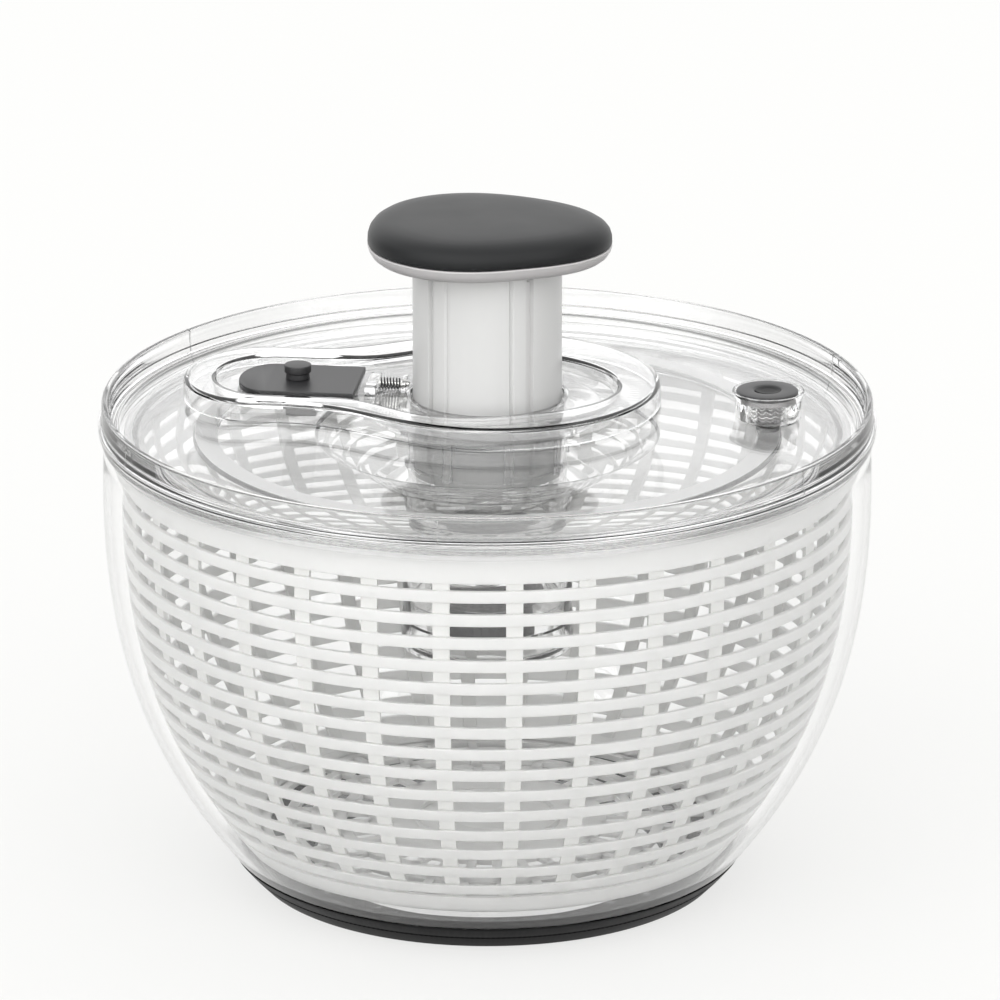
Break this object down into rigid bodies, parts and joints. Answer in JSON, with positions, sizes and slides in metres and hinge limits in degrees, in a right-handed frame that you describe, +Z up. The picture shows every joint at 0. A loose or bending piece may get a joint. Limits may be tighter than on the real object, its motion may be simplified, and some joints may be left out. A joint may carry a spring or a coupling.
{
  "type": "salad spinner",
  "caption": "Pump-driven salad spinner with a clear bowl, lattice basket and a clear lid holding a plunger, a brake button and a plunger lock.",
  "frame": {"origin": "middle of the base, on the surface that the base ring stands on", "axes": "+Z up along the axis that the basket spins on, -X towards the plunger lock, +X towards the brake button"},
  "size_m": [0.2706, 0.2706, 0.239],
  "materials": {
    "clear_plastic": "clear injection-moulded plastic, polished",
    "white_plastic": "white moulded plastic, satin",
    "grey_plastic": "light grey moulded plastic, satin",
    "charcoal_plastic": "charcoal moulded plastic, fine texture",
    "soft_rubber": "charcoal soft-touch rubber, matt",
    "steel": "stainless steel, bright drawn"
  },
  "bodies": {
    "bowl": {"bowl": "clear_plastic", "base_ring": "soft_rubber"},
    "basket": {"basket": "white_plastic"},
    "lid": {"lid_shell": "clear_plastic", "pump_cover": "clear_plastic", "pump_housing": "clear_plastic", "housing_screw_1": "steel", "housing_screw_2": "steel", "housing_screw_3": "steel", "return_spring": "steel", "lock_spring": "steel", "brake_spring": "steel"},
    "drive": {"drive_disc": "clear_plastic", "clutch_drum": "charcoal_plastic", "clutch_cover": "charcoal_plastic", "drum_screw_1": "steel", "drum_screw_2": "steel", "drum_screw_3": "steel"},
    "shaft": {"spiral_shaft": "steel", "clutch_rotor": "grey_plastic", "shaft_clip": "steel"},
    "plunger": {"plunger_column": "white_plastic", "knob_base": "grey_plastic", "knob_cap": "soft_rubber", "knob_screw": "steel", "drive_nut": "grey_plastic"},
    "brake": {"brake_cap": "soft_rubber", "brake_stem": "grey_plastic", "brake_pad": "soft_rubber"},
    "lock": {"lock_slider": "charcoal_plastic", "lock_knob": "charcoal_plastic", "lock_bolt": "clear_plastic"}
  },
  "joints": [
    {"name": "basket_spin", "type": "hinge", "parent": "bowl", "child": "basket", "pos_m": [0, 0, 0.0203], "axis": [0, 0, 1], "continuous": true},
    {"name": "lid_lift", "type": "slide", "parent": "bowl", "child": "lid", "axis": [0, 0, 1], "range_m": [0, 0.14]},
    {"name": "drive_spin", "type": "hinge", "parent": "lid", "child": "drive", "pos_m": [0, 0, 0.1013], "axis": [0, 0, 1], "continuous": true},
    {"name": "plunger_press", "type": "slide", "parent": "lid", "child": "plunger", "axis": [0, 0, 1], "range_m": [-0.045, 0], "stiffness_N_per_m": 150, "springref_m": 0.03, "deforming": ["return_spring"]},
    {"name": "shaft_spin", "type": "hinge", "parent": "lid", "child": "shaft", "pos_m": [0, 0, 0.0876], "axis": [0, 0, 1], "range_deg": [0, 541]},
    {"name": "brake_press", "type": "slide", "parent": "lid", "child": "brake", "axis": [0, 0, 1], "range_m": [-0.003, 0], "stiffness_N_per_m": 300, "springref_m": 0.003, "deforming": ["brake_spring"]},
    {"name": "lock_slide", "type": "slide", "parent": "lid", "child": "lock", "axis": [1, 0, 0], "range_m": [0, 0.004], "stiffness_N_per_m": 300, "springref_m": -0.003, "deforming": ["lock_spring"]}
  ],
  "couplings": [
    {"joint": "drive_spin", "follows": "basket_spin", "ratio": 1},
    {"joint": "shaft_spin", "follows": "plunger_press", "rad_per_m": -209.44}
  ]
}
